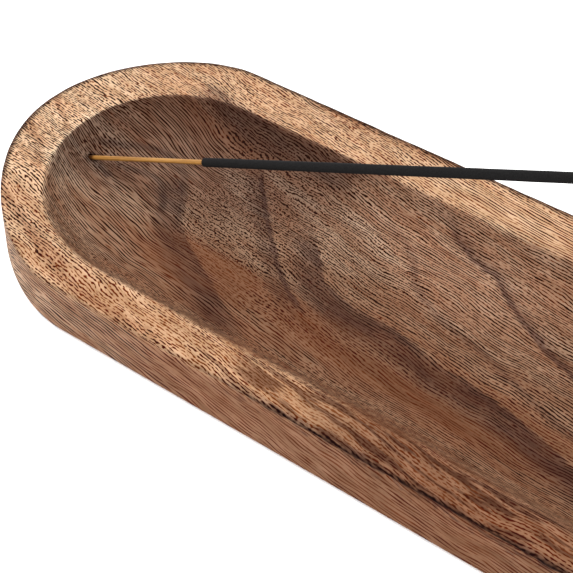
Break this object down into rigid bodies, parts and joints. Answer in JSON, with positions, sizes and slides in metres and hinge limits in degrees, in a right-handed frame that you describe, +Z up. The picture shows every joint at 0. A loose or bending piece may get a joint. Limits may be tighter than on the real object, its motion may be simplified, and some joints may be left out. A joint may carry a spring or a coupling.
{
  "type": "incense burner",
  "caption": "Oblong carved wooden tray with a shallow coved hollow that catches ash, and a black incense stick leaning from a small hole in one end.",
  "frame": {"origin": "middle of the tray's flat underside", "axes": "+X along the tray, from the end with the stick hole towards the far end; +Z up"},
  "size_m": [0.2996, 0.0996, 0.1164],
  "materials": {
    "tray_wood": "sanded and lightly oiled, golden sapwood rim and darker heartwood in the hollow",
    "bamboo": "bare split bamboo, dyed yellow, satin",
    "incense_paste": "dry rolled charcoal paste, matt and slightly grainy"
  },
  "bodies": {
    "tray": {"tray": "tray_wood"},
    "stick": {"stick_core": "bamboo", "incense_coat": "incense_paste"}
  },
  "joints": [
    {"name": "stick_slide", "type": "slide", "parent": "tray", "child": "stick", "axis": [0.8836, 0, 0.4682], "range_m": [0, 0.03]}
  ]
}
